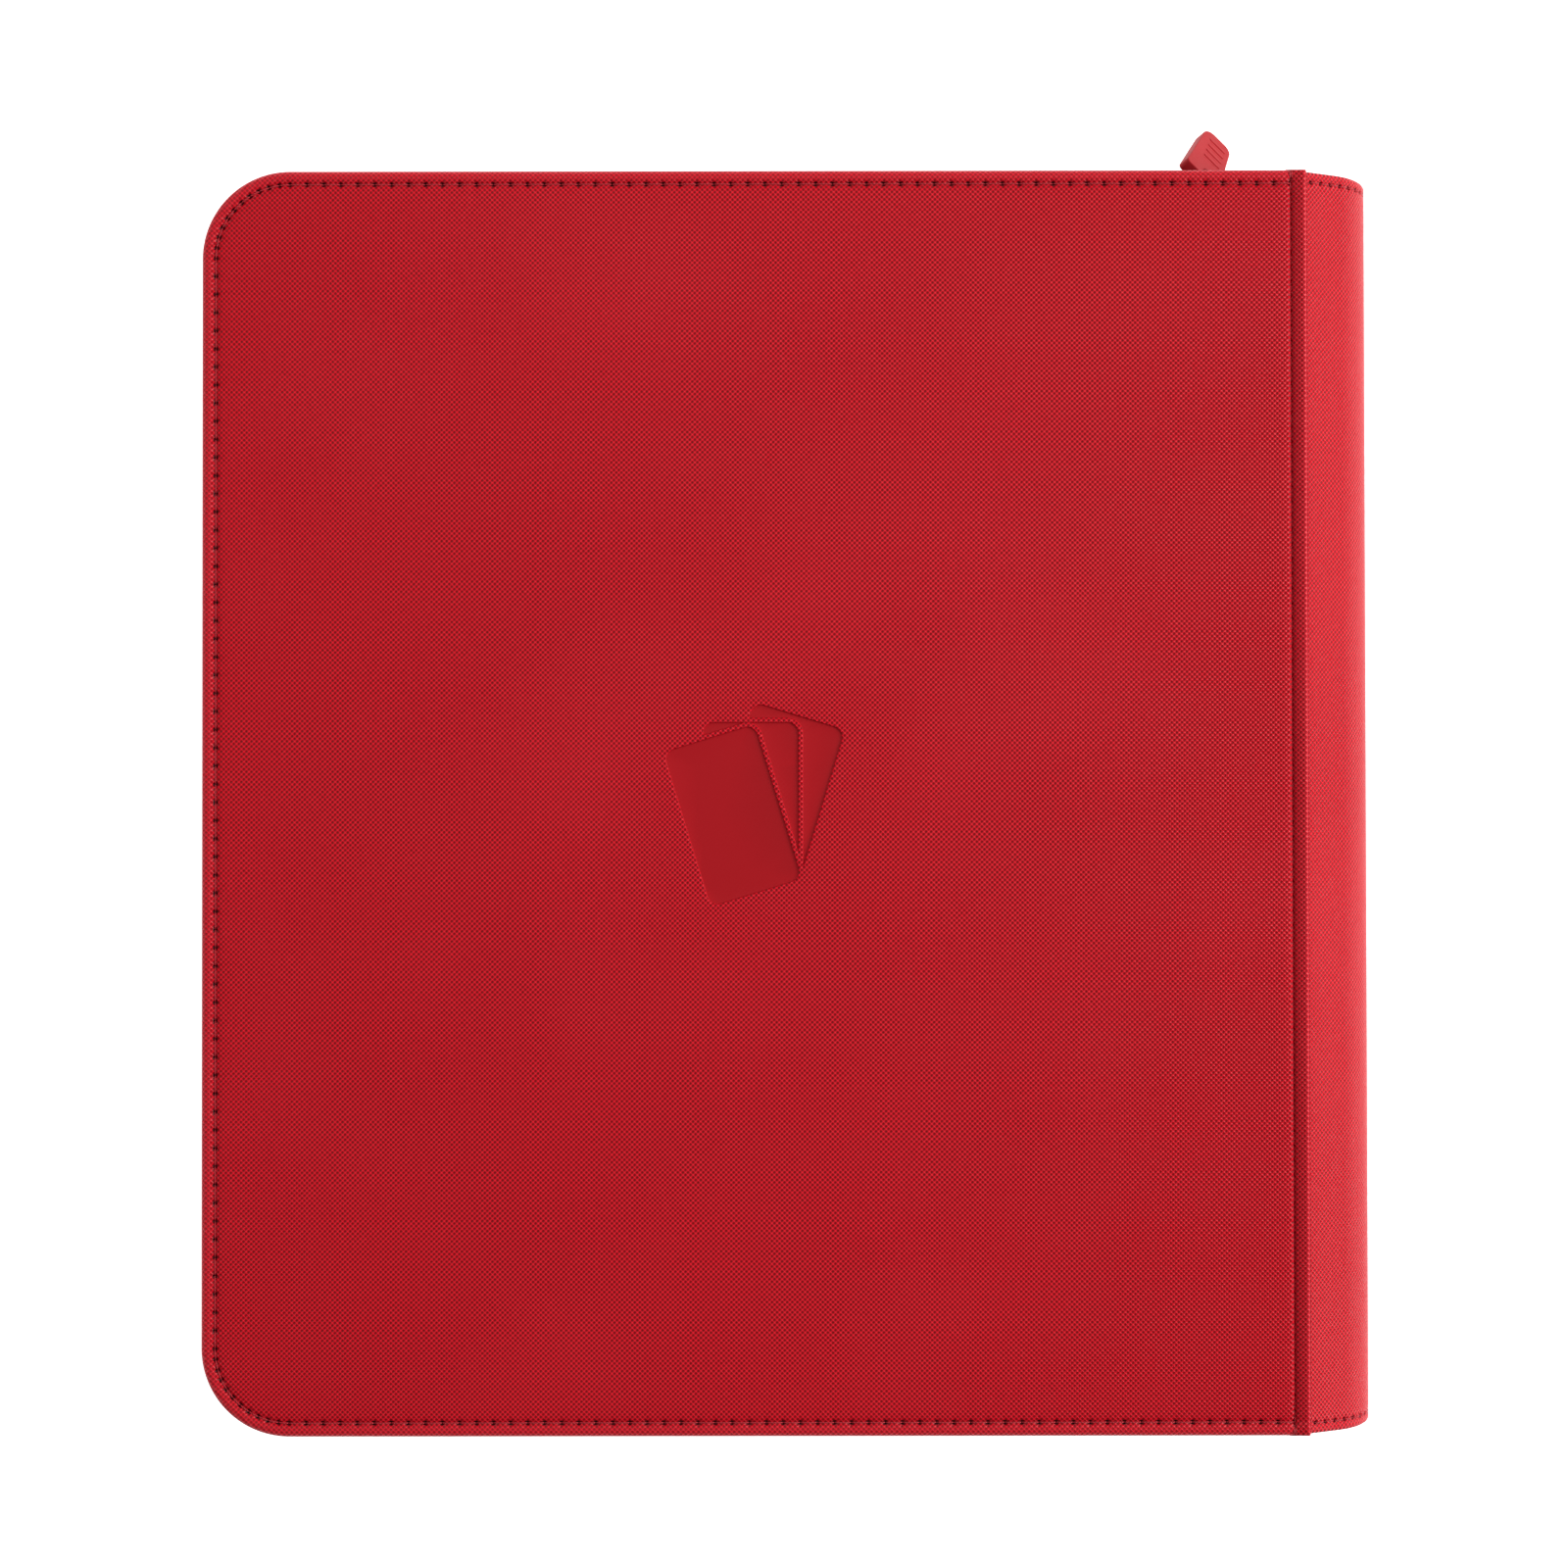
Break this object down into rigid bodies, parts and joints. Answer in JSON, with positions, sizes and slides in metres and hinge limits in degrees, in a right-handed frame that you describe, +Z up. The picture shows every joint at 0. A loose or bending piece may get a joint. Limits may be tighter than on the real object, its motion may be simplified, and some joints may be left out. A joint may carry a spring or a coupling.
{
  "type": "trading card binder",
  "caption": "Zip-up binder for trading cards, with padded leatherette covers, a rounded spine and side-loading pocket pages, lying closed on its front cover.",
  "frame": {"origin": "middle of the bottom of the closed binder's box, on the surface it lies on", "axes": "+Z up through the back cover, +Y to the binder's head, +X to the spine; the zip's pull is at the head, by the spine"},
  "size_m": [0.3206, 0.362, 0.045],
  "materials": {
    "leatherette": "bias-weave embossed leatherette, satin",
    "foam": "soft foam sheet",
    "board": "grey binder's board",
    "lining": "fine woven black lining",
    "zip_tape": "woven zip tape",
    "zip_coil": "moulded nylon coil",
    "zip_metal": "dark plated zinc",
    "pull_rubber": "matte moulded rubber",
    "page_film": "black core sheet under clear pocket film"
  },
  "bodies": {
    "front_cover": {"front_cover_leather": "leatherette", "front_cover_padding": "foam", "front_cover_board": "board", "front_cover_lining": "lining", "front_hinge_strip": "leatherette", "lower_zip_tape": "zip_tape", "lower_zip_coil": "zip_coil", "lower_top_stop": "zip_metal", "zip_bottom_stop": "zip_metal"},
    "spine": {"spine_leather": "leatherette", "spine_padding": "foam", "spine_board": "board", "spine_lining": "lining", "binding_strip": "lining", "head_gusset": "zip_tape", "tail_gusset": "zip_tape"},
    "back_cover": {"back_cover_leather": "leatherette", "back_cover_padding": "foam", "back_cover_board": "board", "back_cover_lining": "lining", "back_hinge_strip": "leatherette", "upper_zip_tape": "zip_tape", "upper_zip_coil": "zip_coil", "upper_top_stop": "zip_metal"},
    "zip_slider": {"zip_slider": "zip_metal"},
    "pull_ring": {"pull_ring": "zip_metal"},
    "pull_grip": {"pull_grip": "pull_rubber"},
    "page_01": {"page_01": "page_film"},
    "page_02": {"page_02": "page_film"},
    "page_03": {"page_03": "page_film"},
    "page_04": {"page_04": "page_film"},
    "page_05": {"page_05": "page_film"},
    "page_06": {"page_06": "page_film"},
    "page_07": {"page_07": "page_film"},
    "page_08": {"page_08": "page_film"},
    "page_09": {"page_09": "page_film"},
    "page_10": {"page_10": "page_film"},
    "page_11": {"page_11": "page_film"},
    "page_12": {"page_12": "page_film"},
    "page_13": {"page_13": "page_film"},
    "page_14": {"page_14": "page_film"},
    "page_15": {"page_15": "page_film"},
    "page_16": {"page_16": "page_film"},
    "page_17": {"page_17": "page_film"},
    "page_18": {"page_18": "page_film"},
    "page_19": {"page_19": "page_film"},
    "page_20": {"page_20": "page_film"}
  },
  "joints": [
    {"name": "front_crease", "type": "hinge", "parent": "front_cover", "child": "spine", "pos_m": [0.14124, 0, 0], "axis": [0, 1, 0], "range_deg": [0, 90]},
    {"name": "back_crease", "type": "hinge", "parent": "spine", "child": "back_cover", "pos_m": [0.14124, 0, 0.045], "axis": [0, 1, 0], "range_deg": [0, 90]},
    {"name": "zip_run", "type": "slide", "parent": "front_cover", "child": "zip_slider", "axis": [-1, 0, 0], "range_m": [0, 0.243]},
    {"name": "ring_swing", "type": "hinge", "parent": "zip_slider", "child": "pull_ring", "pos_m": [0.11344, 0.16104, 0.0225], "axis": [0, 0, 1], "range_deg": [-20, 66]},
    {"name": "grip_lift", "type": "hinge", "parent": "pull_ring", "child": "pull_grip", "pos_m": [0.11483, 0.16415, 0.0225], "axis": [0.9135, -0.4067, 0], "range_deg": [0, 90]},
    {"name": "page_01_turn", "type": "hinge", "parent": "spine", "child": "page_01", "pos_m": [0.13364, 0, 0.00683], "axis": [0, 1, 0], "range_deg": [-85.5, 0]},
    {"name": "page_02_turn", "type": "hinge", "parent": "spine", "child": "page_02", "pos_m": [0.13309, 0, 0.00847], "axis": [0, 1, 0], "range_deg": [-84.6, 0]},
    {"name": "page_03_turn", "type": "hinge", "parent": "spine", "child": "page_03", "pos_m": [0.13254, 0, 0.01013], "axis": [0, 1, 0], "range_deg": [-83.7, 0]},
    {"name": "page_04_turn", "type": "hinge", "parent": "spine", "child": "page_04", "pos_m": [0.13199, 0, 0.01178], "axis": [0, 1, 0], "range_deg": [-82.8, 0]},
    {"name": "page_05_turn", "type": "hinge", "parent": "spine", "child": "page_05", "pos_m": [0.13144, 0, 0.01342], "axis": [0, 1, 0], "range_deg": [-81.9, 0]},
    {"name": "page_06_turn", "type": "hinge", "parent": "spine", "child": "page_06", "pos_m": [0.13089, 0, 0.01507], "axis": [0, 1, 0], "range_deg": [-81, 0]},
    {"name": "page_07_turn", "type": "hinge", "parent": "spine", "child": "page_07", "pos_m": [0.13034, 0, 0.01673], "axis": [0, 1, 0], "range_deg": [-80.1, 0]},
    {"name": "page_08_turn", "type": "hinge", "parent": "spine", "child": "page_08", "pos_m": [0.12979, 0, 0.01837], "axis": [0, 1, 0], "range_deg": [-79.2, 0]},
    {"name": "page_09_turn", "type": "hinge", "parent": "spine", "child": "page_09", "pos_m": [0.12924, 0, 0.02003], "axis": [0, 1, 0], "range_deg": [-78.3, 0]},
    {"name": "page_10_turn", "type": "hinge", "parent": "spine", "child": "page_10", "pos_m": [0.12869, 0, 0.02167], "axis": [0, 1, 0], "range_deg": [-77.4, 0]},
    {"name": "page_11_turn", "type": "hinge", "parent": "spine", "child": "page_11", "pos_m": [0.12869, 0, 0.02332], "axis": [0, 1, 0], "range_deg": [0, 77.4]},
    {"name": "page_12_turn", "type": "hinge", "parent": "spine", "child": "page_12", "pos_m": [0.12924, 0, 0.02498], "axis": [0, 1, 0], "range_deg": [0, 78.3]},
    {"name": "page_13_turn", "type": "hinge", "parent": "spine", "child": "page_13", "pos_m": [0.12979, 0, 0.02662], "axis": [0, 1, 0], "range_deg": [0, 79.2]},
    {"name": "page_14_turn", "type": "hinge", "parent": "spine", "child": "page_14", "pos_m": [0.13034, 0, 0.02828], "axis": [0, 1, 0], "range_deg": [0, 80.1]},
    {"name": "page_15_turn", "type": "hinge", "parent": "spine", "child": "page_15", "pos_m": [0.13089, 0, 0.02993], "axis": [0, 1, 0], "range_deg": [0, 81]},
    {"name": "page_16_turn", "type": "hinge", "parent": "spine", "child": "page_16", "pos_m": [0.13144, 0, 0.03157], "axis": [0, 1, 0], "range_deg": [0, 81.9]},
    {"name": "page_17_turn", "type": "hinge", "parent": "spine", "child": "page_17", "pos_m": [0.13199, 0, 0.03322], "axis": [0, 1, 0], "range_deg": [0, 82.8]},
    {"name": "page_18_turn", "type": "hinge", "parent": "spine", "child": "page_18", "pos_m": [0.13254, 0, 0.03488], "axis": [0, 1, 0], "range_deg": [0, 83.7]},
    {"name": "page_19_turn", "type": "hinge", "parent": "spine", "child": "page_19", "pos_m": [0.13309, 0, 0.03653], "axis": [0, 1, 0], "range_deg": [0, 84.6]},
    {"name": "page_20_turn", "type": "hinge", "parent": "spine", "child": "page_20", "pos_m": [0.13364, 0, 0.03818], "axis": [0, 1, 0], "range_deg": [0, 85.5]}
  ],
  "couplings": [
    {"joint": "back_crease", "follows": "front_crease", "ratio": 1},
    {"joint": "page_01_turn", "follows": "front_crease", "ratio": -0.95},
    {"joint": "page_02_turn", "follows": "front_crease", "ratio": -0.94},
    {"joint": "page_03_turn", "follows": "front_crease", "ratio": -0.93},
    {"joint": "page_04_turn", "follows": "front_crease", "ratio": -0.92},
    {"joint": "page_05_turn", "follows": "front_crease", "ratio": -0.91},
    {"joint": "page_06_turn", "follows": "front_crease", "ratio": -0.9},
    {"joint": "page_07_turn", "follows": "front_crease", "ratio": -0.89},
    {"joint": "page_08_turn", "follows": "front_crease", "ratio": -0.88},
    {"joint": "page_09_turn", "follows": "front_crease", "ratio": -0.87},
    {"joint": "page_10_turn", "follows": "front_crease", "ratio": -0.86},
    {"joint": "page_11_turn", "follows": "front_crease", "ratio": 0.86},
    {"joint": "page_12_turn", "follows": "front_crease", "ratio": 0.87},
    {"joint": "page_13_turn", "follows": "front_crease", "ratio": 0.88},
    {"joint": "page_14_turn", "follows": "front_crease", "ratio": 0.89},
    {"joint": "page_15_turn", "follows": "front_crease", "ratio": 0.9},
    {"joint": "page_16_turn", "follows": "front_crease", "ratio": 0.91},
    {"joint": "page_17_turn", "follows": "front_crease", "ratio": 0.92},
    {"joint": "page_18_turn", "follows": "front_crease", "ratio": 0.93},
    {"joint": "page_19_turn", "follows": "front_crease", "ratio": 0.94},
    {"joint": "page_20_turn", "follows": "front_crease", "ratio": 0.95}
  ]
}
